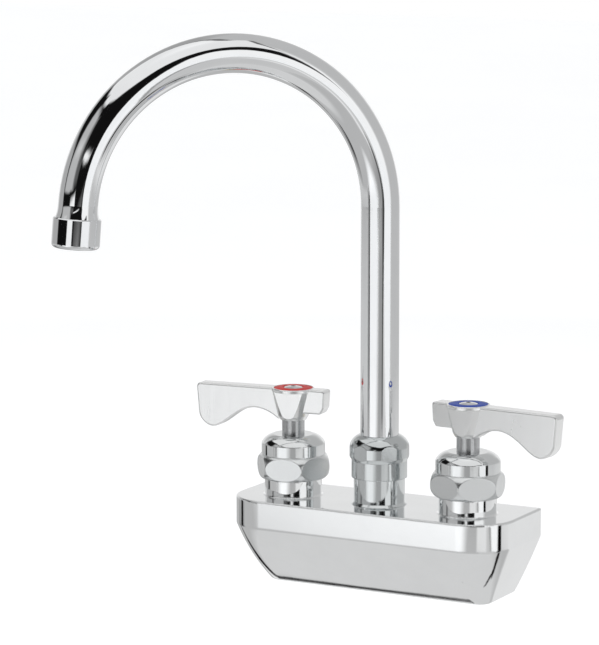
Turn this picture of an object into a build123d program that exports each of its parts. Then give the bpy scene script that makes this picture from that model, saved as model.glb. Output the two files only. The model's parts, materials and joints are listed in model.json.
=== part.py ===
from build123d import *
import os
from math import cos, radians, sin, sqrt

# Wall-mounted twin-lever faucet with a swivelling gooseneck spout.
# Millimetres. +X runs to the right along the wall, +Y into the wall, +Z up.
# The origin lies on the wall face, halfway between the two inlet shanks.
# Heights called "above the deck" start at the flat top face of the body.

# Clearances
RUN = 0.06              # radial or axial gap between pieces that turn on each other
SLIP = 0.05             # gap between fixed pieces that only have to slide together

# Body casting
CENTRES = 101.6         # distance between the hot and the cold valve
BODY_WIDTH = 158.0
BODY_DEPTH = 56.0       # wall face to front face
BODY_HEIGHT = 46.5
INLET_DROP = 20.0       # deck down to the axis of the inlet shanks
BAND_HEIGHT = 14.6      # upright band under the deck, above the curved skirt
CORNER_R = 22.0         # front corners of the band, seen from above
# The skirt at half its height and at the underside: how far it has drawn in
# at each end and at the front, and its corner radius seen from above
SKIRT_MIDDLE = (7.0, 8.3, 15.5)
SKIRT_FOOT = (15.0, 22.6, 7.3)
FOOT_ROUND = 2.6        # rounding between the skirt and the underside
CREASE_ROUND = 2.0
DECK_ROUND = 0.7
BODY_WALL = 3.0
VALVE_Y = -28.8         # valves and spout stand on one line, this far from the wall
WEB_THICK = 8.0

# Waterways inside the casting
BOSS_R = 15.0           # round boss that carries each bonnet
BOSS_HEIGHT = 9.4
BOSS_FLARE = 0.6        # slope where the boss rises from the deck
BONNET_THREAD_R = 12.2
THREAD_DEPTH = 6.0      # bonnet thread below the deck
CHAMBER_R = 10.0
CHAMBER_WALL = 3.0
SEAT_DEPTH = 14.5       # deck down to the valve seat
SEAT_R = 4.0
PASSAGE_R = 4.2         # from the inlet shank to below the seat
GALLERY_DROP = 10.8
GALLERY_R = 3.2         # cross channel from the valves to the spout
GALLERY_WALL = 3.0
SPOUT_BOSS_R = 14.0
STUB_R = 10.5           # threaded stub that holds the spout hub
STUB_DEPTH = 8.0
SPOUT_WELL_DEPTH = 15.0

# Inlet shanks with their lock nuts, made for a wall or splash plate between
SHANK_R = 10.48         # half-inch straight pipe thread
SHANK_BORE_R = 7.5
SHANK_IN = 12.0         # screwed into the casting
SHANK_OUT = 30.0        # standing out behind the wall face
SHANK_CHAMFER = 1.0
RELIEF_WIDTH = 1.5      # groove that parts the lock nut's thread from the supply thread
RELIEF_DEPTH = 1.2
RELIEF_GAP = 0.5        # lock nut to the groove
WALL_GRIP = 8.0         # wall between the body and the washer
WASHER_R = 16.0
WASHER_THICK = 2.0
LOCK_NUT_FLATS = 28.0
LOCK_NUT_THICK = 6.0

# Bonnets
BONNET_FLATS = 34.6
BONNET_CROWN_R = 8.0    # round section of the turned hexagon
BONNET_CROWN_MAX = 19.9
BONNET_CROWN_MID = 15.5     # height above the deck where the hexagon is widest
BONNET_CAP_R = 16.65
BONNET_SHOULDER = 27.6  # where the cap starts to round over
BONNET_TOP = 32.2
BONNET_TOP_R = 10.4
BONNET_DOME = (14.2, 30.6)  # radius and height of a point halfway up the dome
BONNET_BORE_R = 9.4
BONNET_ROOF = 5.0
HOT_FLAT_TURN = 10.9    # degrees, where a flat faces, from straight ahead to the right
COLD_FLAT_TURN = 41.0

# Ceramic cartridges
GASKET_THICK = 1.0
CARTRIDGE_R = 8.6
CARTRIDGE_FLANGE_R = 11.9
CARTRIDGE_FLANGE = 2.0
CARTRIDGE_TOP = 15.0    # above the deck
DISC_R = 7.8
DISC_THICK = 2.4
SEAL_THICK = 1.4
PORT_WIDTH = 6.0
PORT_HEIGHT = 3.4

# Stems
STEM_R = 5.95
STEM_FOOT_THICK = 3.0
STEM_SHOULDER = 41.0    # above the deck, where the handle lands
SPLINE_R = 4.7
SPLINE_DEPTH = 0.6
SPLINE_TEETH = 16
SPLINE_LENGTH = 10.0
ORING_R = 0.8           # round section of the small seals
STEM_ORING_UP = 6.0     # above the deck

# Lever handles, drawn for the blade pointing to +X
HUB_BOTTOM = 39.9
HUB_LOW_R = 8.0
HUB_HIGH_R = 10.9
HUB_WAIST = 42.0
HUB_FOOT_BEVEL = 1.2
HUB_RIM_LOW = 55.0
HUB_RIM_HIGH = 56.8
HUB_RIM_R = 11.2
HUB_RIM_BEVEL = 0.4
HUB_HALF_THICK = 7.4    # the hub is flat front and back
BLADE_TOP = 56.6
BLADE_REACH = 54.0
# Underside of the blade, from its rounded end in to the hub: part of the reach, depth below the top
BLADE_UNDERSIDE = [(0.974, 15.6), (0.859, 22.7), (0.62, 17.0), (0.38, 11.3), (0.13, 16.2)]
BLADE_CORNER = 2.2
LEVER_TURN = 6.0        # degrees towards the user, seen from above, when closed
BLADE_ROOT_THICK = 10.0
BLADE_TIP_THICK = 8.2
TAIL_REACH = 19.4
TAIL_LOW = 44.0
TAIL_THICK = 9.2
TAIL_FOOT = 3.2         # sloping foot of the tail's end
TAIL_SET_BACK = (2.4, 0.6)  # how far the end stands back below and above that foot
TAIL_CORNER = 1.4
EDGE_ROUND = 0.9
RING_R = 10.25
RING_HOLE_R = 5.1
RING_THICK = 1.2
RING_SUNK = 1.0         # of its thickness, below the rim of the hub
RING_EDGE = 0.4
RING_CROWN = 0.1
SCREW_HEAD_R = 4.8
SCREW_HEAD = 2.6
SCREW_PROUD = 0.8       # top of the screw above the rim of the hub
SCREW_DOME = 0.7
SCREW_R = 2.1
SCREW_LENGTH = 8.0
SCREW_KEY = 2.5         # across the hexagon socket
SCREW_KEY_DEPTH = 1.6
SCREW_HOLE_GAP = 0.2
SOCKET_SPARE = 0.4      # room above the stem in the handle's socket

# Spout hub and swivel nut
HUB_FOOT_R = 14.5
HUB_FOOT = 1.4
SPOUT_HUB_R = 13.25
HUB_THREAD_R = 12.7
SPOUT_HUB_TOP = 26.0
HUB_BORE_R = 11.0
HUB_FLOOR = 3.0
HUB_WATER_R = 7.0
GLIDE_THICK = 1.0
NUT_BOTTOM = 14.2
NUT_SKIRT_R = 14.45
NUT_SKIRT_TOP = 23.2
NUT_FLARE = 2.0         # height over which the skirt widens to the flats
NUT_R = 15.55
NUT_FLATS = 30.0
NUT_SHOULDER = 30.4
NUT_TOP = 36.4
NUT_TOP_R = 10.4
NUT_DOME = (13.9, 33.9)     # radius and height of a point halfway up the dome
NUT_FLAT_TURN = -13.0

# Gooseneck spout
TUBE_R = 9.95
TUBE_WALL = 1.2
BEND_R = 79.75
BEND_HEIGHT = 155.5     # above the deck, centre of the bend
BEND_ANGLE = 175.5
SPOUT_TURN = -133.4     # degrees from +X, where the spout points at rest
TUBE_SEAT = 16.0        # above the deck, where the tube starts in its ferrule
FERRULE_BOTTOM = 4.0
FERRULE_FLANGE = 1.9
SPOUT_ORINGS = (7.5, 11.5)
BELL_LENGTH = 6.5
BELL_R = 11.0

# Outlet, measured along the flow from the end of the bend
COLLAR_R = 12.1
COLLAR_LENGTH = 15.3
COLLAR_ROUND = 2.2
COLLAR_BEVEL = 0.5      # upper edge
ADAPTER_THREAD_R = 10.9
ADAPTER_THREAD = 7.0
ADAPTER_BORE_R = 8.0
ADAPTER_SPIGOT = 4.0
OUTLET_WASHER = 1.5
INSERT_FLANGE = 1.0
INSERT_LENGTH = 4.0
INSERT_R = 9.8
INSERT_WALL = 1.2
MOUTH_R = 9.2
MOUTH_BEVEL = 0.2
NOZZLE_R = 0.8
NOZZLE_PITCH = 2.9
NOZZLE_ROWS = 5

# Heights and places worked out from the sizes above
DECK = INLET_DROP
SPOUT_AXIS = Pos(0, VALVE_Y, DECK)
FERRULE_R = HUB_BORE_R - RUN
BASE = (Align.CENTER, Align.CENTER, Align.MIN)


def at_inlet(side):
    """Where the axis of one shank meets the wall face. side is -1 for hot and 1 for cold."""
    return Pos(side * CENTRES / 2, 0, 0)


def at_valve(side):
    """Where the axis of one valve meets the deck."""
    return Pos(side * CENTRES / 2, VALVE_Y, DECK)


def turned(*points):
    """Solid turned about Z from (radius, height) points."""
    return revolve(Plane.XZ * make_face(Polyline(*points, close=True)), Axis.Z)


def ring(outer, inner, low, high):
    """Plain ring about Z."""
    return turned((inner, low), (outer, low), (outer, high), (inner, high))


def hex_prism(flats, low, high, flat_turn):
    """Hexagonal bar about Z. One flat faces flat_turn degrees right of straight ahead."""
    outline = RegularPolygon(flats / 2, 6, major_radius=False, rotation=flat_turn - 120)
    return Pos(0, 0, low) * extrude(outline, high - low)


def o_ring(centre_r, height, section=ORING_R):
    """Round-section seal about Z."""
    return revolve(Plane.XZ * Pos(centre_r, height) * Circle(section), Axis.Z)


def plan_outline(drop, ends, front, corner, inset, back):
    """Outline of the body seen from above, at a drop below the deck."""
    half = BODY_WIDTH / 2 - ends - inset
    reach = BODY_DEPTH - front - inset
    box = Pos(0, (back - reach) / 2, DECK - drop) * Rectangle(2 * half, reach + back)
    return fillet(box.vertices().group_by(Axis.Y)[0], corner - inset)


def hull(inset=0.0, back=0.0):
    """Upright band above a skirt that curves in at the front and the ends."""
    foot_drop = BODY_HEIGHT - inset
    middle_drop = (BAND_HEIGHT + foot_drop) / 2
    crease = plan_outline(BAND_HEIGHT, 0, 0, CORNER_R, inset, back)
    middle = plan_outline(middle_drop, *SKIRT_MIDDLE, inset, back)
    foot = plan_outline(foot_drop, *SKIRT_FOOT, inset, back)
    band = extrude(crease, BAND_HEIGHT - inset)
    return band + loft([crease.face(), middle.face(), foot.face()])


def loop_at(solid, height):
    """Edges of the hull that lie at one height, without the edge on the wall."""
    flat = solid.edges().filter_by_position(Axis.Z, height - 0.01, height + 0.01)
    return flat.filter_by(lambda e: e.center().Y < -0.01)


def outer_hull():
    """The hull with its crease, underside and deck edge rounded."""
    solid = hull()
    solid = fillet(loop_at(solid, DECK - BAND_HEIGHT), CREASE_ROUND)
    solid = fillet(loop_at(solid, DECK - BODY_HEIGHT), FOOT_ROUND)
    return fillet(loop_at(solid, DECK), DECK_ROUND)


def along_wall(radius, low, high):
    """Cylinder along +Y at the height of the inlets."""
    return Pos(0, low, 0) * Rot(X=-90) * Cylinder(radius, high - low, align=BASE)


def valve_castings(side):
    """Metal round one valve: chamber, boss on the deck and boss for the shank."""
    chamber_r = CHAMBER_R + CHAMBER_WALL
    chamber_low = DECK - INLET_DROP - PASSAGE_R - CHAMBER_WALL
    axis = Pos(side * CENTRES / 2, VALVE_Y, 0)
    chamber = axis * ring(chamber_r, 0, chamber_low, DECK - BODY_WALL / 2)
    thread = axis * ring(BOSS_R, 0, DECK - THREAD_DEPTH - CHAMBER_WALL, DECK - BODY_WALL / 2)
    boss = axis * turned(
        (0, DECK - BODY_WALL), (BOSS_R + BOSS_FLARE, DECK - BODY_WALL), (BOSS_R + BOSS_FLARE, DECK),
        (BOSS_R, DECK + BOSS_FLARE), (BOSS_R, DECK + BOSS_HEIGHT), (0, DECK + BOSS_HEIGHT),
    )
    shank = at_inlet(side) * along_wall(SHANK_R + CHAMBER_WALL, VALVE_Y, 0)
    return chamber + thread + boss + shank


def valve_bores(side):
    """Everything drilled round one valve."""
    axis = Pos(side * CENTRES / 2, VALVE_Y, 0)
    thread = axis * ring(BONNET_THREAD_R, 0, DECK - THREAD_DEPTH, DECK + BOSS_HEIGHT + 1)
    chamber = axis * ring(CHAMBER_R, 0, DECK - SEAT_DEPTH, DECK)
    seat = axis * ring(SEAT_R, 0, 0, DECK - SEAT_DEPTH + 1)
    shank = at_inlet(side) * along_wall(SHANK_R, -SHANK_IN, 1)
    passage = at_inlet(side) * along_wall(PASSAGE_R, VALVE_Y - SEAT_R / 2, 0)
    return thread + chamber + seat + shank + passage


def faucet_body():
    """Open-backed casting with valve chambers, cross gallery and bosses."""
    outside = outer_hull()
    shell = outside - hull(inset=BODY_WALL, back=1.0)
    spout_boss = SPOUT_AXIS * ring(SPOUT_BOSS_R, 0, -SPOUT_WELL_DEPTH - CHAMBER_WALL, -BODY_WALL / 2)
    gallery = Pos(0, VALVE_Y, DECK - GALLERY_DROP) * Rot(Y=90) * Cylinder(GALLERY_R + GALLERY_WALL, CENTRES)
    web_box = Box(WEB_THICK, -VALVE_Y, BODY_HEIGHT)
    web = Pos(0, VALVE_Y / 2, DECK - BODY_HEIGHT / 2) * web_box & outside
    casting = shell + spout_boss + gallery + web
    for side in (-1, 1):
        casting += valve_castings(side)
    channel = Pos(0, VALVE_Y, DECK - GALLERY_DROP) * Rot(Y=90) * Cylinder(GALLERY_R, CENTRES)
    well = SPOUT_AXIS * ring(HUB_WATER_R, 0, -SPOUT_WELL_DEPTH, 0)
    stub_hole = SPOUT_AXIS * ring(STUB_R, 0, -STUB_DEPTH, 1)
    casting -= channel + well + stub_hole
    for side in (-1, 1):
        casting -= valve_bores(side)
    return casting


def inlet_shank(side):
    """Threaded nipple that carries the water in and clamps the faucet."""
    end = SHANK_OUT
    relief = WALL_GRIP + WASHER_THICK + LOCK_NUT_THICK + RELIEF_GAP
    relief_r = SHANK_R - RELIEF_DEPTH
    points = [
        (SHANK_BORE_R, -SHANK_IN), (SHANK_R, -SHANK_IN), (SHANK_R, relief), (relief_r, relief),
        (relief_r, relief + RELIEF_WIDTH), (SHANK_R, relief + RELIEF_WIDTH), (SHANK_R, end - SHANK_CHAMFER),
        (SHANK_R - SHANK_CHAMFER, end), (SHANK_BORE_R, end),
    ]
    return at_inlet(side) * Rot(X=-90) * turned(*points)


def shank_washer(side):
    """Washer between the back of the wall and the lock nut."""
    plain = ring(WASHER_R, SHANK_R + SLIP, WALL_GRIP, WALL_GRIP + WASHER_THICK)
    return at_inlet(side) * Rot(X=-90) * plain


def lock_nut(side):
    """Hexagon nut with chamfered corners, screwed up against its washer."""
    low = WALL_GRIP + WASHER_THICK
    high = low + LOCK_NUT_THICK
    corner = LOCK_NUT_FLATS / 2 * 1.12
    cut = LOCK_NUT_THICK / 5
    blank = turned(
        (SHANK_R, low), (corner - cut, low), (corner, low + cut),
        (corner, high - cut), (corner - cut, high), (SHANK_R, high),
    )
    nut = blank & hex_prism(LOCK_NUT_FLATS, low, high, 0)
    return at_inlet(side) * Rot(X=-90) * nut


def bonnet(side):
    """Turned hexagon with a round cap above and a thread below."""
    low = -THREAD_DEPTH + CARTRIDGE_FLANGE + GASKET_THICK
    crown_low = BOSS_HEIGHT
    crown_high = 2 * BONNET_CROWN_MID - crown_low
    centre = BONNET_CROWN_MAX - BONNET_CROWN_R
    reach = centre + sqrt(BONNET_CROWN_R**2 - (BONNET_CROWN_MID - crown_low)**2)
    crown = Polyline((0, crown_high), (0, crown_low), (reach, crown_low))
    crown += ThreePointArc((reach, crown_low), (BONNET_CROWN_MAX, BONNET_CROWN_MID), (reach, crown_high))
    crown += Line((reach, crown_high), (0, crown_high))
    turn = HOT_FLAT_TURN if side < 0 else COLD_FLAT_TURN
    hexagon = revolve(Plane.XZ * make_face(crown), Axis.Z)
    hexagon = hexagon & hex_prism(BONNET_FLATS, crown_low, crown_high, turn)
    shoulder = (BONNET_CAP_R, BONNET_SHOULDER)
    cap = Polyline((0, BONNET_TOP), (0, crown_low), (BONNET_CAP_R, crown_low), shoulder)
    cap += ThreePointArc(shoulder, BONNET_DOME, (BONNET_TOP_R, BONNET_TOP))
    cap += Line((BONNET_TOP_R, BONNET_TOP), (0, BONNET_TOP))
    blank = hexagon + revolve(Plane.XZ * make_face(cap), Axis.Z) + ring(BONNET_THREAD_R, 0, low, crown_low)
    blank -= ring(BONNET_BORE_R, 0, low - 1, BONNET_TOP - BONNET_ROOF)
    blank -= ring(STEM_R + RUN, 0, low - 1, BONNET_TOP + 1)
    return at_valve(side) * blank


def cartridge_gasket(side):
    """Fibre ring between the cartridge flange and the bonnet."""
    low = -THREAD_DEPTH + CARTRIDGE_FLANGE
    gasket = ring(CARTRIDGE_FLANGE_R, CARTRIDGE_R + SLIP, low, low + GASKET_THICK)
    return at_valve(side) * gasket


def seat_heights():
    """Heights above the deck of the seal, the discs and the stem foot."""
    seal = -SEAT_DEPTH
    fixed = seal + SEAL_THICK
    moving = fixed + DISC_THICK + RUN
    foot = moving + DISC_THICK
    return seal, fixed, moving, foot, foot + STEM_FOOT_THICK


def cartridge_housing(side):
    """Brass sleeve that guides the stem and holds the two discs."""
    fixed = seat_heights()[1]
    inside = seat_heights()[4] + RUN
    points = [
        (DISC_R + SLIP, fixed), (CARTRIDGE_R, fixed), (CARTRIDGE_R, -THREAD_DEPTH),
        (CARTRIDGE_FLANGE_R, -THREAD_DEPTH), (CARTRIDGE_FLANGE_R, -THREAD_DEPTH + CARTRIDGE_FLANGE),
        (CARTRIDGE_R, -THREAD_DEPTH + CARTRIDGE_FLANGE), (CARTRIDGE_R, CARTRIDGE_TOP),
        (STEM_R + RUN, CARTRIDGE_TOP), (STEM_R + RUN, inside), (DISC_R + SLIP, inside),
    ]
    housing = turned(*points)
    port_low = seat_heights()[2]
    port = Pos(0, 0, port_low) * Box(4 * CARTRIDGE_R, PORT_WIDTH, PORT_HEIGHT, align=BASE)
    ports = port - ring(DISC_R, 0, port_low - 1, port_low + PORT_HEIGHT + 1)
    return at_valve(side) * (housing - ports)


def disc(low, radius):
    """Ceramic disc about Z with two opposed round openings."""
    blank = ring(radius, 0, low, low + DISC_THICK)
    slot = Pos(radius * 0.5, 0, low + DISC_THICK / 2) * Cylinder(radius * 0.27, DISC_THICK * 2)
    return blank - (slot + Rot(Z=180) * slot)


def fixed_disc(side):
    """Lower disc, keyed in the housing."""
    return at_valve(side) * disc(seat_heights()[1], DISC_R)


def moving_disc(side):
    """Upper disc, turned by the stem. Closed, its openings lie across those below."""
    return at_valve(side) * Rot(Z=90) * disc(seat_heights()[2], DISC_R - RUN)


def seat_seal(side):
    """Rubber ring that seals the cartridge on its seat."""
    low = seat_heights()[0]
    seal = ring(DISC_R, SEAT_R, low, low + SEAL_THICK)
    return at_valve(side) * seal


def spline_outline(gap):
    """Star of small teeth, drawn larger by gap for the socket."""
    points = []
    for step in range(2 * SPLINE_TEETH):
        radius = SPLINE_R + gap - (step % 2) * SPLINE_DEPTH
        angle = radians(step * 180 / SPLINE_TEETH)
        points.append((radius * cos(angle), radius * sin(angle)))
    return make_face(Polyline(*points, close=True))


def stem(side):
    """Stem from the moving disc up into the handle."""
    foot, shaft = seat_heights()[3:]
    groove = ORING_R * 1.2
    groove_r = STEM_R - 2 * ORING_R
    points = [
        (0, foot), (DISC_R - RUN, foot), (DISC_R - RUN, shaft), (STEM_R, shaft),
        (STEM_R, STEM_ORING_UP - groove), (groove_r, STEM_ORING_UP - groove),
        (groove_r, STEM_ORING_UP + groove), (STEM_R, STEM_ORING_UP + groove),
        (STEM_R, STEM_SHOULDER), (0, STEM_SHOULDER),
    ]
    spline = Pos(0, 0, STEM_SHOULDER) * extrude(spline_outline(0), SPLINE_LENGTH)
    tapped = ring(SCREW_R, 0, screw_seat() - SCREW_LENGTH, STEM_SHOULDER + SPLINE_LENGTH + 1)
    return at_valve(side) * (turned(*points) + spline - tapped)


def stem_o_ring(side):
    """Seal in the groove of the stem."""
    seal = o_ring(STEM_R - ORING_R, STEM_ORING_UP)
    return at_valve(side) * seal


def screw_seat():
    """Height above the deck of the face under the screw head."""
    return HUB_RIM_HIGH + SCREW_PROUD - SCREW_HEAD


def blade():
    """Lever blade: flat sided, thinner to the tip, with a deep rounded end."""
    tip_corner = Vector(BLADE_REACH, BLADE_TOP)
    under = [Vector(BLADE_REACH * part, BLADE_TOP - depth) for part, depth in BLADE_UNDERSIDE]
    outline = FilletPolyline((0, BLADE_TOP), tip_corner, under[0], radius=BLADE_CORNER)
    outline += Spline(*under, tangents=[under[0] - tip_corner, (-1, -0.8)], tangent_scalars=(1, 1))
    outline += Polyline(under[-1], (0, HUB_WAIST), (0, BLADE_TOP))
    slab = extrude(Plane.XZ * make_face(outline), BLADE_ROOT_THICK / 2, both=True)
    root = BLADE_ROOT_THICK / 2
    tip = BLADE_TIP_THICK / 2
    wedge = make_face(Polyline((0, -root), (BLADE_REACH, -tip), (BLADE_REACH, tip), (0, root), close=True))
    slab = slab & extrude(wedge, 2 * BLADE_TOP)
    rims = slab.edges().filter_by(lambda e: e.center().X > 12 and abs(e.center().Y) > 1)
    return fillet(rims, EDGE_ROUND)


def tail():
    """Short block opposite the blade."""
    half = TAIL_THICK / 2
    outline = FilletPolyline(
        (0, TAIL_LOW), (TAIL_SET_BACK[0] - TAIL_REACH, TAIL_LOW),
        (TAIL_SET_BACK[1] - TAIL_REACH, TAIL_LOW + TAIL_FOOT),
        (-TAIL_REACH, BLADE_TOP), (0, BLADE_TOP), radius=TAIL_CORNER, close=True,
    )
    block = extrude(Plane.XZ * make_face(outline), half, both=True)
    rims = block.edges().filter_by(lambda e: e.center().X < -HUB_LOW_R and abs(e.center().Y) > 1)
    return fillet(rims, EDGE_ROUND)


def lever_handle(side):
    """Cast lever with its hub, socket for the stem and recess for the colour ring."""
    hub = turned(
        (0, HUB_BOTTOM), (HUB_LOW_R - HUB_FOOT_BEVEL, HUB_BOTTOM), (HUB_LOW_R, HUB_WAIST),
        (HUB_HIGH_R, HUB_RIM_LOW), (0, HUB_RIM_LOW),
    )
    hub = hub & Pos(0, 0, HUB_BOTTOM) * Box(2 * HUB_RIM_R, 2 * HUB_HALF_THICK, HUB_RIM_HIGH, align=BASE)
    rim = ring(HUB_RIM_R, 0, HUB_RIM_LOW, HUB_RIM_HIGH)
    rim = chamfer(rim.edges().group_by(Axis.Z)[-1], HUB_RIM_BEVEL)
    solid = Rot(Z=-LEVER_TURN) * (hub + rim + blade() + tail())
    solid -= ring(STEM_R + SLIP, 0, HUB_BOTTOM - 1, STEM_SHOULDER)
    socket = Pos(0, 0, STEM_SHOULDER) * extrude(spline_outline(SLIP), SPLINE_LENGTH + SOCKET_SPARE)
    solid -= socket
    solid -= ring(SCREW_R + SCREW_HOLE_GAP, 0, STEM_SHOULDER, HUB_RIM_HIGH)
    solid -= ring(SCREW_HEAD_R + SLIP, 0, screw_seat(), HUB_RIM_HIGH + 1)
    solid -= ring(RING_R + SLIP, 0, HUB_RIM_HIGH - RING_SUNK, HUB_RIM_HIGH + 1)
    return at_valve(side) * facing(solid, side)


def facing(solid, side):
    """The piece as drawn for +X, or mirrored for the other handle."""
    return solid if side > 0 else mirror(solid, Plane.YZ)


def index_ring(side):
    """Colour ring that marks hot or cold, slightly crowned."""
    low = HUB_RIM_HIGH - RING_SUNK
    high = low + RING_THICK
    profile = Polyline((RING_HOLE_R, high), (RING_HOLE_R, low), (RING_R, low), (RING_R, high - RING_EDGE))
    crown = ((RING_R + RING_HOLE_R) / 2, high + RING_CROWN)
    profile += ThreePointArc((RING_R, high - RING_EDGE), crown, (RING_HOLE_R, high))
    return at_valve(side) * revolve(Plane.XZ * make_face(profile), Axis.Z)


def handle_screw(side):
    """Domed screw that holds the handle on its stem."""
    seat = screw_seat()
    top = seat + SCREW_HEAD
    profile = Polyline((0, top), (0, seat - SCREW_LENGTH), (SCREW_R, seat - SCREW_LENGTH), (SCREW_R, seat),
                       (SCREW_HEAD_R, seat), (SCREW_HEAD_R, top - SCREW_DOME))
    profile += ThreePointArc((SCREW_HEAD_R, top - SCREW_DOME), (SCREW_HEAD_R * 0.55, top - 0.15), (0, top))
    screw = revolve(Plane.XZ * make_face(profile), Axis.Z)
    screw -= hex_prism(SCREW_KEY, top - SCREW_KEY_DEPTH, top + 1, 0)
    return at_valve(side) * screw


def spout_hub():
    """Round hub on the deck in which the spout turns."""
    points = [
        (HUB_WATER_R, -STUB_DEPTH), (STUB_R, -STUB_DEPTH), (STUB_R, 0), (HUB_FOOT_R, 0),
        (SPOUT_HUB_R, HUB_FOOT), (SPOUT_HUB_R, NUT_BOTTOM), (HUB_THREAD_R, NUT_BOTTOM),
        (HUB_THREAD_R, SPOUT_HUB_TOP), (HUB_BORE_R, SPOUT_HUB_TOP), (HUB_BORE_R, HUB_FLOOR),
        (HUB_WATER_R, HUB_FLOOR),
    ]
    return SPOUT_AXIS * turned(*points)


def flange_heights():
    """Heights above the deck of the ferrule flange between its glide rings."""
    low = SPOUT_HUB_TOP + GLIDE_THICK + RUN
    return low, low + FERRULE_FLANGE


def lower_glide_ring():
    """Plastic ring under the ferrule flange."""
    return SPOUT_AXIS * ring(HUB_THREAD_R, HUB_BORE_R, SPOUT_HUB_TOP, SPOUT_HUB_TOP + GLIDE_THICK)


def upper_glide_ring():
    """Plastic ring between the ferrule flange and the nut."""
    low = flange_heights()[1] + RUN
    return SPOUT_AXIS * ring(HUB_THREAD_R, TUBE_R + 2 * RUN, low, low + GLIDE_THICK)


def swivel_nut():
    """Domed nut with six shallow wrench flats above a round skirt."""
    shoulder = flange_heights()[1] + RUN + GLIDE_THICK
    profile = Polyline((TUBE_R + RUN, NUT_TOP), (TUBE_R + RUN, shoulder), (HUB_THREAD_R, shoulder),
                       (HUB_THREAD_R, NUT_BOTTOM), (NUT_SKIRT_R, NUT_BOTTOM), (NUT_SKIRT_R, NUT_SKIRT_TOP),
                       (NUT_R, NUT_SKIRT_TOP + NUT_FLARE), (NUT_R, NUT_SHOULDER))
    profile += ThreePointArc((NUT_R, NUT_SHOULDER), NUT_DOME, (NUT_TOP_R, NUT_TOP))
    profile += Line((NUT_TOP_R, NUT_TOP), (TUBE_R + RUN, NUT_TOP))
    nut = revolve(Plane.XZ * make_face(profile), Axis.Z)
    return SPOUT_AXIS * (nut & hex_prism(NUT_FLATS, NUT_BOTTOM, NUT_TOP, NUT_FLAT_TURN))


def spout_plane():
    """Upright plane of the gooseneck: local x points along the spout, local y up."""
    forward = Vector(cos(radians(SPOUT_TURN)), sin(radians(SPOUT_TURN)), 0)
    return Plane(origin=(0, VALVE_Y, DECK), x_dir=forward, z_dir=forward.cross(Vector(0, 0, 1)))


def spout_path():
    """Centre line of the tube: straight riser, then one round bend."""
    riser = Line((0, TUBE_SEAT), (0, BEND_HEIGHT))
    bend = CenterArc((BEND_R, BEND_HEIGHT), BEND_R, 180, -BEND_ANGLE)
    return spout_plane() * (riser + bend)


def outlet_frame():
    """Frame at the end of the bend, its Z along the flow."""
    path = spout_path()
    return Plane(origin=path @ 1, z_dir=path % 1)


def spout_tube():
    """Bent tube, belled at its end to take the outlet."""
    path = spout_path()
    start = Plane(origin=path @ 0, z_dir=path % 0)
    outside = sweep(start * Circle(TUBE_R), path)
    inside = sweep(start * Circle(TUBE_R - TUBE_WALL), path)
    profile = Spline((TUBE_R, 0), (BELL_R, BELL_LENGTH), tangents=[(0, 1), (0.35, 1)])
    inner = BELL_R - TUBE_WALL
    bore = TUBE_R - TUBE_WALL
    ledge = BELL_LENGTH - ADAPTER_SPIGOT
    profile += Polyline((BELL_R, BELL_LENGTH), (inner, BELL_LENGTH), (inner, ledge), (bore, ledge), (bore, 0),
                        (TUBE_R, 0))
    bell = revolve(Plane.XZ * make_face(profile), Axis.Z)
    return (outside - inside) + outlet_frame() * bell


def spout_ferrule():
    """Brass foot of the spout: holds the tube, two seals and the turning flange."""
    low, high = flange_heights()
    grooves = []
    for height in SPOUT_ORINGS:
        half = ORING_R * 1.2
        floor = FERRULE_R - 2 * ORING_R
        grooves += [(FERRULE_R, height - half), (floor, height - half), (floor, height + half),
                    (FERRULE_R, height + half)]
    points = [
        (HUB_WATER_R, FERRULE_BOTTOM), (FERRULE_R, FERRULE_BOTTOM), *grooves, (FERRULE_R, low),
        (HUB_THREAD_R - 2 * RUN, low), (HUB_THREAD_R - 2 * RUN, high), (TUBE_R, high),
        (TUBE_R, TUBE_SEAT), (HUB_WATER_R, TUBE_SEAT),
    ]
    return SPOUT_AXIS * turned(*points)


def spout_o_rings():
    """Two seals round the ferrule."""
    seals = [SPOUT_AXIS * o_ring(FERRULE_R - ORING_R, height) for height in SPOUT_ORINGS]
    return Compound(seals)


def outlet_adapter():
    """Threaded ring brazed into the belled end of the tube."""
    inner = BELL_R - TUBE_WALL
    start = BELL_LENGTH - ADAPTER_SPIGOT
    points = [
        (ADAPTER_BORE_R, start), (inner, start), (inner, BELL_LENGTH), (ADAPTER_THREAD_R, BELL_LENGTH),
        (ADAPTER_THREAD_R, BELL_LENGTH + ADAPTER_THREAD), (ADAPTER_BORE_R, BELL_LENGTH + ADAPTER_THREAD),
    ]
    return outlet_frame() * turned(*points)


def insert_start():
    """Along the flow, the face of the insert flange against the washer."""
    return BELL_LENGTH + ADAPTER_THREAD + OUTLET_WASHER


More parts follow.
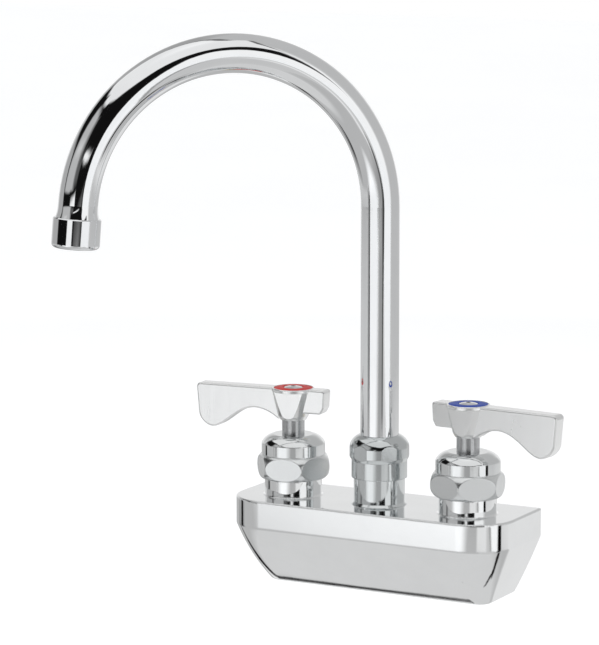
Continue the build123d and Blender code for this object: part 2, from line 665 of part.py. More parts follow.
def aerator_housing():
    """Collar round the outlet, with a rounded lower edge and a recessed mouth."""
    ledge = insert_start() + INSERT_FLANGE
    floor = ledge + INSERT_LENGTH
    end = BELL_LENGTH + COLLAR_LENGTH
    profile = Polyline((INSERT_R + SLIP, floor), (INSERT_R + SLIP, ledge), (ADAPTER_THREAD_R, ledge),
                       (ADAPTER_THREAD_R, BELL_LENGTH), (COLLAR_R - COLLAR_BEVEL, BELL_LENGTH),
                       (COLLAR_R, BELL_LENGTH + COLLAR_BEVEL), (COLLAR_R, end - COLLAR_ROUND))
    slant = COLLAR_ROUND * (1 - sqrt(0.5))
    profile += ThreePointArc((COLLAR_R, end - COLLAR_ROUND), (COLLAR_R - slant, end - slant),
                             (COLLAR_R - COLLAR_ROUND, end))
    profile += Polyline((COLLAR_R - COLLAR_ROUND, end), (MOUTH_R + MOUTH_BEVEL, end),
                        (MOUTH_R, end - MOUTH_BEVEL), (MOUTH_R, floor), (INSERT_R + SLIP, floor))
    return outlet_frame() * revolve(Plane.XZ * make_face(profile), Axis.Z)


def aerator_washer():
    """Rubber washer between the adapter and the insert."""
    low = BELL_LENGTH + ADAPTER_THREAD
    return outlet_frame() * ring(ADAPTER_THREAD_R, ADAPTER_BORE_R, low, low + OUTLET_WASHER)


def aerator_insert():
    """Plastic insert: a cup with a perforated floor that forms the stream."""
    start = insert_start()
    end = start + INSERT_FLANGE + INSERT_LENGTH
    cup = turned(
        (0, end - INSERT_WALL), (INSERT_R - INSERT_WALL, end - INSERT_WALL), (INSERT_R - INSERT_WALL, start),
        (ADAPTER_THREAD_R, start),
        (ADAPTER_THREAD_R, start + INSERT_FLANGE), (INSERT_R, start + INSERT_FLANGE), (INSERT_R, end),
        (0, end),
    )
    grid = HexLocations(NOZZLE_PITCH / 2, NOZZLE_ROWS, NOZZLE_ROWS)
    reach = INSERT_R - 2 * INSERT_WALL
    nozzles = [place * Cylinder(NOZZLE_R, 3 * INSERT_WALL) for place in grid if place.position.length < reach]
    return outlet_frame() * (cup - Pos(0, 0, end) * Part(nozzles))


PIECES = {
    "faucet_body": faucet_body, "spout_hub": spout_hub, "swivel_nut": swivel_nut,
    "lower_glide_ring": lower_glide_ring, "upper_glide_ring": upper_glide_ring,
    "spout_tube": spout_tube, "spout_ferrule": spout_ferrule, "spout_o_rings": spout_o_rings,
    "outlet_adapter": outlet_adapter, "aerator_housing": aerator_housing,
    "aerator_washer": aerator_washer, "aerator_insert": aerator_insert,
}
PAIRED_PIECES = {
    "inlet_shank": inlet_shank, "shank_washer": shank_washer, "lock_nut": lock_nut,
    "bonnet": bonnet, "cartridge_gasket": cartridge_gasket, "cartridge_housing": cartridge_housing,
    "fixed_disc": fixed_disc, "seat_seal": seat_seal, "moving_disc": moving_disc,
    "stem": stem, "stem_o_ring": stem_o_ring, "lever_handle": lever_handle,
    "index_ring": index_ring, "handle_screw": handle_screw,
}


def main():
    """Write every piece as its own file."""
    os.makedirs("parts", exist_ok=True)
    for name, make in PIECES.items():
        export_step(make(), f"parts/{name}.step")
    for name, make in PAIRED_PIECES.items():
        for word, side in (("hot", -1), ("cold", 1)):
            export_step(make(side), f"parts/{word}_{name}.step")


main()
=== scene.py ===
import json
import math

import bmesh
import bpy
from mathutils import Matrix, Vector


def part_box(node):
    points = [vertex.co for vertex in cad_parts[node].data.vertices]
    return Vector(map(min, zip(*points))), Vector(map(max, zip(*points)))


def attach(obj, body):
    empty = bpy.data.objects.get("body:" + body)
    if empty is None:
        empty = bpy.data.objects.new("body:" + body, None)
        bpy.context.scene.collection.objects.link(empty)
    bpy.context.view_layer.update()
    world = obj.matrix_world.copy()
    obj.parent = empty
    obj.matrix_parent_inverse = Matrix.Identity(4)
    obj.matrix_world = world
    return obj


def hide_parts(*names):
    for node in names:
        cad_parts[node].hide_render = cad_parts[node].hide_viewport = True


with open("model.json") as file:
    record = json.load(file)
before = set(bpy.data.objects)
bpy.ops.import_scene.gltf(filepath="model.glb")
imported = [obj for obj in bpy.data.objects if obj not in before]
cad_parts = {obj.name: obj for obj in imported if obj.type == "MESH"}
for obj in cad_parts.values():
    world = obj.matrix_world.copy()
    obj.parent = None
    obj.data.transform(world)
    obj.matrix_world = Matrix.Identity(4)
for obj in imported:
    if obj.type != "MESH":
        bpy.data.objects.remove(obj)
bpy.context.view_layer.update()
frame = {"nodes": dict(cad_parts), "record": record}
nodes = frame["nodes"]
record = frame["record"]
scene = bpy.context.scene

# Camera, fitted to the outlines in the photograph
AZIMUTH = math.radians(28.47)       # to the right of the object's front
ELEVATION = math.radians(8.82)
DISTANCE = 1.7
TARGET = Vector((-0.06272, 0.0, 0.10635))
SENSOR_WIDTH = 36.0
LENS = 191.83
CLIP_END = 50.0


def direction(turn, rise):
    """Unit vector that points turn radians to the right of the object's front, and rise radians upward."""
    return Vector((math.sin(turn) * math.cos(rise), -math.cos(turn) * math.cos(rise), math.sin(rise)))


def add_camera():
    back = direction(AZIMUTH, ELEVATION)
    optics = bpy.data.cameras.new("camera")
    optics.sensor_fit = "HORIZONTAL"
    optics.sensor_width = SENSOR_WIDTH
    optics.lens = LENS
    optics.clip_end = CLIP_END
    camera = bpy.data.objects.new("camera", optics)
    camera.location = TARGET + back * DISTANCE
    camera.rotation_euler = back.to_track_quat("Z", "Y").to_euler()
    scene.collection.objects.link(camera)
    scene.camera = camera


add_camera()
scene.view_settings.view_transform = "Standard"


# Shader nodes
WHITE = (1, 1, 1, 1)
MIX_A = 6                    # the Mix node's inputs and its output for colours
MIX_B = 7
MIX_RESULT = 2
BEVEL_SAMPLES = 6


def darker(color, share):
    return tuple(value * share for value in color)


class Graph:
    """Adds and links the nodes of one shader tree."""

    def __init__(self, tree):
        self.tree = tree
        tree.nodes.clear()

    def add(self, kind, **settings):
        node = self.tree.nodes.new(kind)
        for key, value in settings.items():
            setattr(node, key, value)
        return node

    def put(self, socket, value):
        """Links another node's output to the socket, or sets the socket to a plain value."""
        if hasattr(value, "is_output"):
            self.tree.links.new(value, socket)
        else:
            socket.default_value = value

    def calc(self, operation, *values):
        node = self.add("ShaderNodeMath", operation=operation)
        for socket, value in zip(node.inputs, values):
            self.put(socket, value)
        return node.outputs[0]

    def span(self, value, low, high, to_low, to_high):
        """The value, taken from one range to another and kept inside it."""
        node = self.add("ShaderNodeMapRange")
        self.put(node.inputs["Value"], value)
        limits = {"From Min": low, "From Max": high, "To Min": to_low, "To Max": to_high}
        for key, limit in limits.items():
            node.inputs[key].default_value = limit
        return node.outputs["Result"]

    def noise(self, place, scale, detail=3.0, rough=0.5):
        node = self.add("ShaderNodeTexNoise")
        self.put(node.inputs["Vector"], place)
        node.inputs["Scale"].default_value = scale
        node.inputs["Detail"].default_value = detail
        node.inputs["Roughness"].default_value = rough
        return node.outputs["Fac"]

    def mix(self, factor, first, second):
        node = self.add("ShaderNodeMix", data_type="RGBA")
        self.put(node.inputs["Factor"], factor)
        self.put(node.inputs[MIX_A], first)
        self.put(node.inputs[MIX_B], second)
        return node.outputs[MIX_RESULT]

    def shade(self, factor, color, share):
        """The colour, darkened to share of itself where the factor is 0."""
        return self.mix(factor, (*darker(color, share), 1), (*color, 1))

    def place(self):
        return self.add("ShaderNodeTexCoord").outputs["Object"]

    def moved(self, place, setting, value):
        """The place after the Mapping node, with its Location or its Scale set."""
        node = self.add("ShaderNodeMapping")
        node.inputs[setting].default_value = value
        self.put(node.inputs["Vector"], place)
        return node.outputs[0]

    def bump(self, shader, height, strength, distance, edge=0.0):
        """Bump from a height, over edges that are softened by edge metres."""
        node = self.add("ShaderNodeBump")
        node.inputs["Strength"].default_value = strength
        node.inputs["Distance"].default_value = distance
        self.put(node.inputs["Height"], height)
        if edge:
            bevel = self.add("ShaderNodeBevel", samples=BEVEL_SAMPLES)
            bevel.inputs["Radius"].default_value = edge
            self.put(node.inputs["Normal"], bevel.outputs[0])
        self.put(shader.inputs["Normal"], node.outputs[0])


def new_material(name):
    """A material with a Principled shader, its graph and that shader."""
    material = bpy.data.materials.new(name)
    material.use_nodes = True
    graph = Graph(material.node_tree)
    shader = graph.add("ShaderNodeBsdfPrincipled")
    graph.put(graph.add("ShaderNodeOutputMaterial").inputs[0], shader.outputs[0])
    return material, graph, shader


# Finishes of the metal
HAZE_SCALE = 38.0            # cloudy patches that polishing leaves
HAZE_SHADE = 0.965
HAZE_EDGES = (0.35, 0.65)    # the noise between which the cloud's colour changes
GRAIN_SCALE = 900.0
GRAIN_HEIGHT = 0.006
WIPE_SCALE = 700.0           # fine upright wiping marks
WIPE_STRETCH = (1.0, 1.0, 0.06)
WIPE_SHARE = 0.35            # of the change in roughness, and haze makes the rest
RIPPLE_SCALE = 22.0          # slow waves of a polished casting
NOISE_SPAN = (0.3, 0.7)      # where most of a noise lies
PLATING_BUMP = 0.35
PLATING_DEPTH = 0.001
SEED_STEPS = Vector((1.0, 0.7, 1.3))      # each finish takes its noise from another place


def chrome(name, tint, rough, ripple, edge, seed, wear=0.45, satin=None):
    """Polished plating: faint haze, wiping marks and a slow casting ripple.

    wear is the part of the roughness by which the marks change it. satin gives the heights between
    which the metal is less polished, and its added roughness there.
    """
    material, graph, shader = new_material(name)
    place = graph.place()
    shifted = graph.moved(place, "Location", SEED_STEPS * seed)
    haze = graph.noise(shifted, HAZE_SCALE, detail=5.0, rough=0.6)
    grain = graph.noise(shifted, GRAIN_SCALE, detail=2.0)
    wipes = graph.noise(graph.moved(shifted, "Scale", WIPE_STRETCH), WIPE_SCALE, detail=2.0, rough=0.6)
    waves = graph.noise(shifted, RIPPLE_SCALE, detail=1.0, rough=0.4)
    marks = graph.calc("MULTIPLY_ADD", wipes, WIPE_SHARE, graph.calc("MULTIPLY", haze, 1 - WIPE_SHARE))
    finish = graph.span(marks, *NOISE_SPAN, rough * (1 - wear), rough * (1 + wear))
    if satin:
        low, high, added = satin
        parts = graph.add("ShaderNodeSeparateXYZ")
        graph.put(parts.inputs[0], place)
        above = graph.calc("GREATER_THAN", parts.outputs["Z"], low)
        inside = graph.calc("MULTIPLY", above, graph.calc("LESS_THAN", parts.outputs["Z"], high))
        finish = graph.calc("MULTIPLY_ADD", inside, added, finish)
    cloud = graph.span(haze, *HAZE_EDGES, 0.0, 1.0)
    graph.put(shader.inputs["Roughness"], finish)
    graph.put(shader.inputs["Base Color"], graph.shade(cloud, tint, HAZE_SHADE))
    shader.inputs["Metallic"].default_value = 1.0
    height = graph.calc("MULTIPLY_ADD", grain, GRAIN_HEIGHT, graph.calc("MULTIPLY", waves, ripple))
    graph.bump(shader, height, PLATING_BUMP, PLATING_DEPTH, edge)
    return material


RINGS_PER_SCALE = 3.2        # the Wave node's rings in one unit of its scale
TOOL_DEPTH = 0.00006
STAIN_SCALE = 90.0
MARK_SHARE = 0.5             # of the change in roughness, and stains make the rest
MARK_SPAN = (0.2, 0.8)       # where most of marks and stains together lies
TURNED_SHADE = 0.82
TURNED_ROUGHNESS = (0.75, 1.4)      # least and most, as shares of a finish's roughness


def turned_metal(name, color, rough, pitch, axis="Z", bump=0.25):
    """Machined metal with fine rings of tool marks, pitch metres apart along the axis."""
    material, graph, shader = new_material(name)
    place = graph.place()
    rings = graph.add("ShaderNodeTexWave", wave_type="BANDS", bands_direction=axis)
    graph.put(rings.inputs["Vector"], place)
    rings.inputs["Scale"].default_value = 1.0 / pitch / RINGS_PER_SCALE
    rings.inputs["Distortion"].default_value = 1.5
    rings.inputs["Detail"].default_value = 2.0
    marks = rings.outputs["Fac"]
    stain = graph.noise(place, STAIN_SCALE, detail=4.0, rough=0.6)
    both = graph.calc("MULTIPLY_ADD", marks, MARK_SHARE, graph.calc("MULTIPLY", stain, 1 - MARK_SHARE))
    least, most = (rough * share for share in TURNED_ROUGHNESS)
    graph.put(shader.inputs["Base Color"], graph.shade(stain, color, TURNED_SHADE))
    graph.put(shader.inputs["Roughness"], graph.span(both, *MARK_SPAN, least, most))
    shader.inputs["Metallic"].default_value = 1.0
    graph.bump(shader, marks, bump, TOOL_DEPTH)
    return material


# Finishes of the plastics, rubber, fibre and ceramic
SHADE_SCALE = 260.0
TEXTURE_SCALE = 2600.0
MOULDED_SHADE = 0.86
MOULDED_ROUGHNESS = (0.8, 1.2)      # least and most, as shares of a finish's roughness
TEXTURE_DEPTH = 0.0001
COAT_ROUGHNESS = 0.05


def moulded(name, color, rough, grain, coat=0.0, gloss=0.5):
    """Plastic, rubber, fibre or ceramic with a fine grain."""
    material, graph, shader = new_material(name)
    place = graph.place()
    tone = graph.noise(place, SHADE_SCALE, detail=4.0, rough=0.6)
    texture = graph.noise(place, TEXTURE_SCALE, rough=0.6)
    least, most = (rough * share for share in MOULDED_ROUGHNESS)
    graph.put(shader.inputs["Base Color"], graph.shade(tone, color, MOULDED_SHADE))
    graph.put(shader.inputs["Roughness"], graph.span(texture, *NOISE_SPAN, least, most))
    shader.inputs["Specular IOR Level"].default_value = gloss
    shader.inputs["Coat Weight"].default_value = coat
    shader.inputs["Coat Roughness"].default_value = COAT_ROUGHNESS
    graph.bump(shader, texture, grain, TEXTURE_DEPTH)
    return material


# The record's material slots
HEXAGON = (0.0288, 0.0422)      # heights between which the bonnets are hexagons, with satin faces
FINISHES = {
    "body_chrome": (chrome, dict(tint=(0.90, 0.91, 0.915), rough=0.05, ripple=0.03, edge=0.0014, seed=1)),
    # The hub, nut and bonnet chrome are tinted darker than the body's: painted shade for the darker
    # reflections these parts show
    "hub_chrome": (chrome, dict(tint=(0.72, 0.745, 0.75), rough=0.10, ripple=0.02, edge=0.0004, seed=2)),
    "nut_chrome": (chrome, dict(tint=(0.66, 0.685, 0.69), rough=0.10, ripple=0.03, edge=0.0006, seed=3)),
    "tube_chrome": (chrome, dict(tint=(0.89, 0.90, 0.91), rough=0.03, ripple=0.02, edge=0.0, seed=4)),
    "collar_chrome": (chrome, dict(tint=(0.87, 0.88, 0.89), rough=0.045, ripple=0.02, edge=0.0, seed=5)),
    "bonnet_chrome": (chrome, dict(tint=(0.80, 0.815, 0.82), rough=0.05, ripple=0.03, edge=0.0005, seed=6,
                                   satin=(*HEXAGON, 0.20))),
    # The handle chrome is tinted brighter than the body's: painted light that makes the satin blades read
    # nearly white
    "handle_chrome": (chrome, dict(tint=(0.95, 0.955, 0.955), rough=0.25, ripple=0.0, edge=0.0004, seed=7,
                                   wear=0.12)),
    "screw_chrome": (chrome, dict(tint=(0.82, 0.83, 0.84), rough=0.08, ripple=0.0, edge=0.0001, seed=8)),
    "stem_steel": (turned_metal, dict(color=(0.64, 0.65, 0.66), rough=0.18, pitch=0.00035)),
    "shank_brass": (turned_metal, dict(color=(0.80, 0.66, 0.38), rough=0.24, pitch=0.0004, axis="Y")),
    "brass": (turned_metal, dict(color=(0.78, 0.63, 0.34), rough=0.26, pitch=0.0004)),
    "zinc_steel": (turned_metal, dict(color=(0.70, 0.72, 0.74), rough=0.34, pitch=0.0006, axis="Y",
                                      bump=0.12)),
    "ceramic": (moulded, dict(color=(0.92, 0.91, 0.88), rough=0.18, grain=0.02, coat=0.3)),
    "rubber": (moulded, dict(color=(0.05, 0.05, 0.05), rough=0.55, grain=0.25)),
    "fibre": (moulded, dict(color=(0.35, 0.16, 0.12), rough=0.60, grain=0.35)),
    "glide_plastic": (moulded, dict(color=(0.90, 0.90, 0.87), rough=0.40, grain=0.1)),
    "aerator_plastic": (moulded, dict(color=(0.74, 0.75, 0.76), rough=0.38, grain=0.1)),
    "hot_red": (moulded, dict(color=(0.60, 0.016, 0.012), rough=0.42, grain=0.10, gloss=0.15)),
    "cold_blue": (moulded, dict(color=(0.006, 0.050, 0.36), rough=0.42, grain=0.10, gloss=0.15)),
}
looks = {name: make(name, **values) for name, (make, values) in FINISHES.items()}
slots = {part["node"]: part["material_slot"] for part in record["subparts"]}
for name, piece in nodes.items():
    piece.data.materials.clear()
    piece.data.materials.append(looks[slots[name]])


# Threaded shanks, with 1/2 in straight pipe thread, 14 to the inch
THREAD_PITCH = 0.00181
THREAD_DEPTH = 0.00105
THREAD_FLAT = 0.12           # share of the depth cut off at crest and root
THREAD_LEAST = 0.05          # share of the depth that is left at the ends
LEAD_IN = 0.001
RUN_OUT = 0.0016
SHANK_BORE = 0.0075
RELIEF = (0.0165, 0.018)     # groove between the two threads
RELIEF_DEPTH = 0.0012
AROUND = 72                  # points round the shank
ROWS_PER_PITCH = 6


def circle_point(centre_x, radius, step, y):
    angle = 2 * math.pi * step / AROUND
    return centre_x + radius * math.cos(angle), y, radius * math.sin(angle)


def thread_radius(step, y, start, end, crest):
    """Radius of the thread at one of the points round the shank, at the place y on its axis."""
    turns = (y - start) / THREAD_PITCH + step / AROUND
    tooth = abs(2 * (turns % 1.0) - 1)
    height = max(0.0, min(1.0, (tooth - THREAD_FLAT) / (1 - 2 * THREAD_FLAT)))
    fade = min(1.0, (y - start) / LEAD_IN, (end - y) / RUN_OUT + THREAD_LEAST)
    radius = crest - THREAD_DEPTH + THREAD_DEPTH * min(height, max(THREAD_LEAST, fade))
    if RELIEF[0] < y < RELIEF[1]:
        radius = min(radius, crest - RELIEF_DEPTH)
    return radius


def join_rings(mesh, first, second):
    """Faces between two rings of points."""
    for step in range(AROUND):
        after = (step + 1) % AROUND
        mesh.faces.new((first[step], first[after], second[after], second[step]))


def threaded_shank(name, node, centre_x):
    """Nipple with a real V thread, in place of the plain one."""
    low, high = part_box(node)
    crest = (high.z - low.z) / 2
    start, end = low.y, high.y
    rows = int((end - start) / THREAD_PITCH * ROWS_PER_PITCH)
    mesh = bmesh.new()
    rings = []
    for row in range(rows + 1):
        y = start + (end - start) * row / rows
        radii = [thread_radius(step, y, start, end, crest) for step in range(AROUND)]
        rings.append([mesh.verts.new(circle_point(centre_x, radius, step, y))
                      for step, radius in enumerate(radii)])
    bore_start, bore_end = ([mesh.verts.new(circle_point(centre_x, SHANK_BORE, step, y))
                             for step in range(AROUND)] for y in (start, end))
    for first, second in zip(rings, rings[1:]):
        join_rings(mesh, first, second)
    join_rings(mesh, bore_start, rings[0])
    join_rings(mesh, rings[-1], bore_end)
    join_rings(mesh, bore_end, bore_start)
    bmesh.ops.recalc_face_normals(mesh, faces=mesh.faces)
    data = bpy.data.meshes.new(name)
    mesh.to_mesh(data)
    mesh.free()
    data.shade_smooth()
    data.materials.append(looks["shank_brass"])
    shank = bpy.data.objects.new(name, data)
    scene.collection.objects.link(shank)
    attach(shank, "fixed")
    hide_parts(node)


mounts = {mount["name"]: mount for mount in record["mounts"]}
for side in ("hot", "cold"):
    threaded_shank(f"{side}_threaded_shank", f"{side}_inlet_shank", mounts[f"{side}_supply"]["pos_m"][0])


# Studio, a ring of cards round the object that is bent onto the floor and that only mirrors see
CENTRE = Vector((-0.02, -0.06, 0.15))       # middle of the ring
CARD_RADIUS = 2.5
FLOOR_Z = -0.25
FLOOR_DROP = CENTRE.z - FLOOR_Z
FLOOR_EDGE = -math.degrees(math.asin(FLOOR_DROP / CARD_RADIUS))      # where the cards meet the floor
STEEPEST = 89.5              # cards stop short of straight up and straight down
LAYER = 0.006                # part of its distance by which each card stands nearer than the one before
ROW = 0.75                   # degrees between the rows of a card's points
COLUMN = 1.5                 # degrees between the columns of its points
SKY_LIGHT = (0.85, 0.86, 0.87, 1)
placed_cards = []


def background_rays(graph):
    """1 for rays that show the background: from the camera, off metal, through glass."""
    path = graph.add("ShaderNodeLightPath").outputs
    seen = graph.calc("MAXIMUM", path["Is Camera Ray"], path["Is Glossy Ray"])
    return graph.calc("MAXIMUM", seen, path["Is Transmission Ray"])


def add_world():
    world = bpy.data.worlds.new("studio")
    scene.world = world
    world.use_nodes = True
    graph = Graph(world.node_tree)
    sky = graph.add("ShaderNodeBackground")
    graph.put(sky.inputs["Color"], graph.mix(background_rays(graph), SKY_LIGHT, WHITE))
    graph.put(graph.add("ShaderNodeOutputWorld").inputs[0], sky.outputs[0])


def stage_object(name, points, faces, material):
    data = bpy.data.meshes.new(name)
    data.from_pydata(points, [], faces)
    data.materials.append(material)
    thing = bpy.data.objects.new(name, data)
    scene.collection.objects.link(thing)
    return thing


def between(stops, azimuth):
    """Values at the azimuth, interpolated between (azimuth, value, ...) stops."""
    for left, right in zip(stops, stops[1:]):
        if left[0] <= azimuth <= right[0]:
            share = (azimuth - left[0]) / (right[0] - left[0])
            return [low + (high - low) * share for low, high in zip(left[1:], right[1:])]
    raise ValueError(azimuth)


def card_material(name, tone):
    """Evenly lit card that fades out at its border."""
    material = bpy.data.materials.new(name)
    material.use_nodes = True
    graph = Graph(material.node_tree)
    glow = graph.add("ShaderNodeEmission")
    glow.inputs["Color"].default_value = (tone, tone, tone, 1)
    cover = graph.add("ShaderNodeAttribute", attribute_name="cover")
    blend = graph.add("ShaderNodeMixShader")
    clear = graph.add("ShaderNodeBsdfTransparent")
    for socket, source in zip(blend.inputs, (cover.outputs["Fac"], clear.outputs[0], glow.outputs[0])):
        graph.put(socket, source)
    graph.put(graph.add("ShaderNodeOutputMaterial").inputs[0], blend.outputs[0])
    return material


def room_point(azimuth, elevation, layer, reach):
    """Point that the middle sees in a direction: on the ring of cards, or on the floor below it."""
    rise = math.radians(elevation)
    if elevation < 0:
        reach = min(reach, FLOOR_DROP / math.sin(-rise))
    return CENTRE + direction(math.radians(azimuth) + AZIMUTH, rise) * reach * (1 - LAYER * layer)


def part_inside(distance, fade):
    """Distance from a border in fades, or 1 where the border is sharp."""
    return distance / fade if fade else 1.0


def card(name, tone, stops, soft, reach=CARD_RADIUS):
    """Studio card between (azimuth, low, high) stops, in degrees from the camera's side.

    soft is the half width of the fade at the lower and the upper edge, and the fade at the ends.
    """
    placed_cards.append(name)
    soft_low, soft_high, soft_end = soft
    first, last = stops[0][0], stops[-1][0]
    count = max(2, round((last - first) / COLUMN))
    low = max(-STEEPEST, min(stop[1] for stop in stops) - soft_low)
    high = min(STEEPEST, max(stop[2] for stop in stops) + soft_high)
    steps = max(2, round((high - low) / ROW))
    levels = [low + (high - low) * step / steps for step in range(steps + 1)]
    if reach == CARD_RADIUS and low < FLOOR_EDGE < high:
        levels = sorted(levels + [FLOOR_EDGE])
    points, cover = [], []
    for column in range(count + 1):
        azimuth = first + (last - first) * column / count
        bottom, top = between(stops, azimuth)
        ends = part_inside(min(azimuth - first, last - azimuth), soft_end)
        for level in levels:
            points.append(room_point(azimuth, level, len(placed_cards), reach))
            rise = part_inside(level - bottom, soft_low)
            fall = part_inside(top - level, soft_high)
            cover.append(max(0.0, min(1.0, 0.5 + rise / 2, 0.5 + fall / 2, ends)))
    faces = []
    for column in range(count):
        for row in range(len(levels) - 1):
            corner = len(levels) * column + row
            face = (corner, corner + 1, corner + len(levels) + 1, corner + len(levels))
            if any(cover[point] > 0 for point in face):
                faces.append(face)
    board = stage_object(name, points, faces, card_material(name, tone))
    board.data.attributes.new("cover", "FLOAT", "POINT").data.foreach_set("value", cover)
    board.visible_camera = False
    board.visible_diffuse = False
    board.visible_shadow = False
    board.visible_transmission = False


# Where the white ceiling begins, and where the black flags below it end, round the room
CEILING = [(-142, 33), (-134, 35.5), (-130, 37.5), (-122, 41), (-114, 42.8), (-106, 44.5), (-98, 46),
           (-90, 48), (-82, 48.3), (-74, 48), (-66, 46.7), (-58, 44.5), (-50, 43.5), (-42, 42.5), (-34, 41),
           (-26, 40.3), (-18, 39.5), (-10, 37.8), (-2, 35), (4, 35), (8, 36), (14, 38), (22, 40), (34, 41),
           (42, 41), (50, 39.5), (58, 37)]
SIDE_LOW = [(-142, 31), (-134, 24), (-130, 21.5), (-122, 20), (-104, 20), (-97, 17), (-92, 4), (-84, -5)]
FRONT_LOW = [(-96, -5), (-46, -5), (-42, 1.8), (-22, 2.2), (-19, -6), (4, -6), (12, -8), (21, -9),
             (24.5, -6), (26.5, 20), (30, 25), (38, 23.5), (46, 19.5), (54, 15), (58, 13)]


def up_to_ceiling(lows):
    """Stops from the given lower edge to where the ceiling begins."""
    return [(azimuth, low, *between(CEILING, azimuth)) for azimuth, low in lows]


STRIP_STEP = 6.0             # degrees between the stops of a straight strip


def floor_strip(near, far, first, last):
    """Stops of a strip on the floor along the body, from near to far metres behind the room's middle."""
    count = max(1, round((last - first) / STRIP_STEP))
    stops = []
    for step in range(count + 1):
        azimuth = first + (last - first) * step / count
        backward = direction(math.radians(azimuth) + AZIMUTH, 0.0).y
        edges = [-math.degrees(math.atan2(FLOOR_DROP * backward, behind)) for behind in (near, far)]
        stops.append((azimuth, *edges))
    return stops


add_world()

# Ceiling, table and walls
card("ceiling", 0.88, [(-180, 30, 78), (180, 30, 78)], (0, 12, 0))
card("table", 0.50, [(-180, -90, -9), (-90, -90, -9), (-78, -90, -10), (-66, -90, -13), (-58, -90, -20),
                     (-50, -90, -25), (-42, -90, -27), (-34, -90, -26), (-26, -90, -20), (-18, -90, -13),
                     (-10, -90, -9), (4, -90, -6), (20, -90, -7), (26, -90, -26), (58, -90, -34),
                     (64, -90, -14), (74, -90, -7), (180, -90, -6)], (0, 7, 0))
card("table_right", 0.60, [(16, -60, -8), (24, -60, -9), (30, -60, -12), (38, -60, -14), (46, -60, -20),
                           (54, -60, -25), (60, -60, -29), (66, -60, -26)], (10, 1.5, 4))
card("left_wall", 0.43, [(-160, -9, 14), (-150, -9, 30), (-138, -9, 36), (-90, -9, 38), (-62, -9, 38)],
     (4, 3, 14))
card("right_wall", 0.53, [(60, -12, 44), (66, -12, 56), (78, -12, 66), (86, -12, 73), (94, -12, 76),
                          (110, -12, 79), (150, -12, 79), (174, -12, 75), (190, -8, 69), (198, -6, 66),
                          (206, -4, 62), (214, -2, 57), (222, 0, 51), (230, 2, 42)], (4, 2, 10))
card("back_shade", 0.38, [(176, 30, 71), (190, 26, 69), (206, 24, 62), (222, 22, 51), (232, 20, 40)],
     (8, 3, 14))
card("back_wall", 0.92, [(140, -4, 12), (156, -6, 16), (174, -6, 14), (196, -6, 12), (212, -4, 10),
                         (226, -2, 8)], (4, 11, 16))
card("right_edge", 0.10, [(58, 37, 44), (66, 54, 59), (78, 65, 69.5), (86, 72, 76), (94, 75, 79),
                          (110, 78, 82), (150, 77, 81), (174, 74, 78), (190, 68, 71.5), (198, 65, 68),
                          (206, 61, 64), (214, 56, 59)], (1.5, 1.2, 4))

# Black flags under the ceiling, with the light panels that hang before them
card("black_side", 0.006, up_to_ceiling(SIDE_LOW), (3, 1.2, 6))
card("black_front", 0.006, up_to_ceiling(FRONT_LOW), (1.2, 1.2, 5))
card("panel", 0.50, [(-93, 5, 40), (-82, 5, 43), (-74, 5, 43), (-66, 5, 41.5), (-58, 5, 40), (-50, 5, 37.5),
                     (-42, 5, 35), (-34, 5, 32)], (0.8, 2.0, 9))
card("panel_light", 0.78, [(-78, 23.5, 24.5), (-52, 23.5, 24.5)], (5, 5, 9))
card("grey_flag", 0.11, [(-42, 6, 17), (-22, 6, 17)], (2, 4, 5))
card("sliver", 0.97, [(-25, 14.5, 16), (-20, 12.6, 15.6), (-14, 10.2, 14), (-8, 8.2, 11.8), (-2, 6.8, 9),
                      (4, 5.2, 6.4), (9, 3.9, 4.5)], (0.8, 0.8, 3))

# Shades and lines low down, which the body and the foot of the spout mirror
card("left_shade", 0.22, [(-82, -14, -4), (-64, -14, -4)], (3, 2, 8))
card("left_line", 0.0, [(-70, -15, -4), (-63.5, -15, -4)], (3, 1.5, 1.5))
card("front_shade", 0.34, [(-15, -16, -5), (0, -16, -5), (21, -16, -5)], (4, 3, 12))
card("front_line", 0.06, [(10, -15, -6), (20.5, -15, -6)], (3, 3, 4))
card("corner_light", 0.82, [(6, -21, -15), (36, -21, -15)], (1.5, 1.5, 5))
card("floor_line", 0.20, [(36, -15.5, -13.5), (44, -20, -18), (52, -25, -23), (61, -30, -28)], (1, 1, 3))
card("left_floor_shade", 0.16, [(-142, -34, -20), (-106, -34, -20)], (6, 6, 12))
card("back_floor", 0.80, [(66, -20, -15), (98, -23, -15), (112, -44, -14), (130, -56, -14), (150, -54, -14),
                          (162, -50, -18)], (5, 3, 7))
card("low_floor", 0.68, [(-180, -90, -72), (-150, -90, -66), (-130, -90, -56), (-90, -90, -54),
                         (-40, -90, -52), (0, -90, -50), (60, -90, -50), (110, -90, -54), (140, -90, -66),
                         (180, -90, -72)], (0, 5, 0))

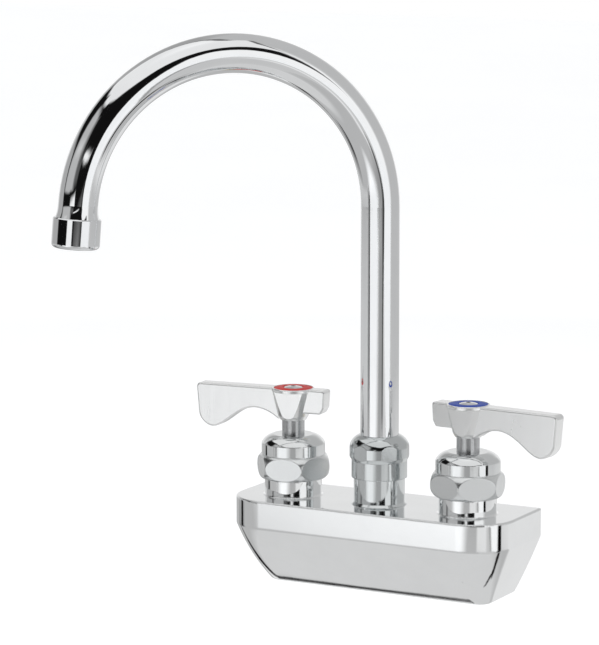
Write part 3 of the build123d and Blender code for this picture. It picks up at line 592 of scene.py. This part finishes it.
# Dark lines on the edges of the body: along its foot, on the skirt's corners and on the band's corners
card("foot_light", 0.85, floor_strip(near=0.096, far=0.200, first=134, last=211), (0.6, 3, 3))
card("left_skirt_line", 0.0, floor_strip(near=0.096, far=0.195, first=209, last=223), (0.6, 3, 2))
card("foot_line", 0.0, floor_strip(near=0.086, far=0.0955, first=134, last=222), (0.5, 0.5, 4))
card("left_flag", 0.0, [(-124.5, -40, -23), (-114.5, -40, -23)], (3, 2, 1), reach=0.46)
card("right_flag", 0.0, [(64.5, -40, -18), (74.5, -40, -18)], (3, 2, 1), reach=0.62)
card("corner_line_high", 0.0, [(75, -47, -42), (78, -51, -44), (82, -55, -47), (86, -58, -51),
                               (90, -58, -56)], (0.8, 0.8, 1))
card("corner_line_low", 0.0, [(79, -68, -65), (80, -67, -63), (82, -64.5, -58), (84, -61, -55),
                              (86, -58, -53), (88, -55, -52)], (0.6, 0.6, 0.5))

# Floor and key lamp
FLOOR_HALF = 8.0
FLOOR_GREYS = ((0.80, 0.80, 0.80, 1), (0.84, 0.84, 0.84, 1))
FLOOR_GLOW = 0.27            # lifts the lit floor to white where it is the background
FLOOR_ROUGHNESS = 0.9
FLOOR_NOISE_SCALE = 3.0
KEY_POWER = 7.0
KEY_SIZE = 0.9
KEY_PLACE = Vector((-0.7, -1.1, 1.3))


def add_floor():
    material, graph, shader = new_material("floor")
    cloud = graph.noise(graph.place(), FLOOR_NOISE_SCALE)
    graph.put(shader.inputs["Base Color"], graph.mix(cloud, *FLOOR_GREYS))
    shader.inputs["Roughness"].default_value = FLOOR_ROUGHNESS
    shader.inputs["Emission Color"].default_value = WHITE
    glow = graph.calc("MULTIPLY", background_rays(graph), FLOOR_GLOW)
    graph.put(shader.inputs["Emission Strength"], glow)
    corners = [(x * FLOOR_HALF, y * FLOOR_HALF, FLOOR_Z) for x, y in ((-1, -1), (1, -1), (1, 1), (-1, 1))]
    stage_object("floor", corners, [(0, 1, 2, 3)], material)


def add_key_lamp():
    light = bpy.data.lights.new("key", "AREA")
    light.energy = KEY_POWER
    light.size = KEY_SIZE
    lamp = bpy.data.objects.new("key", light)
    lamp.location = KEY_PLACE
    lamp.rotation_euler = (KEY_PLACE - TARGET).to_track_quat("Z", "Y").to_euler()
    lamp.visible_glossy = False
    scene.collection.objects.link(lamp)


add_floor()
add_key_lamp()
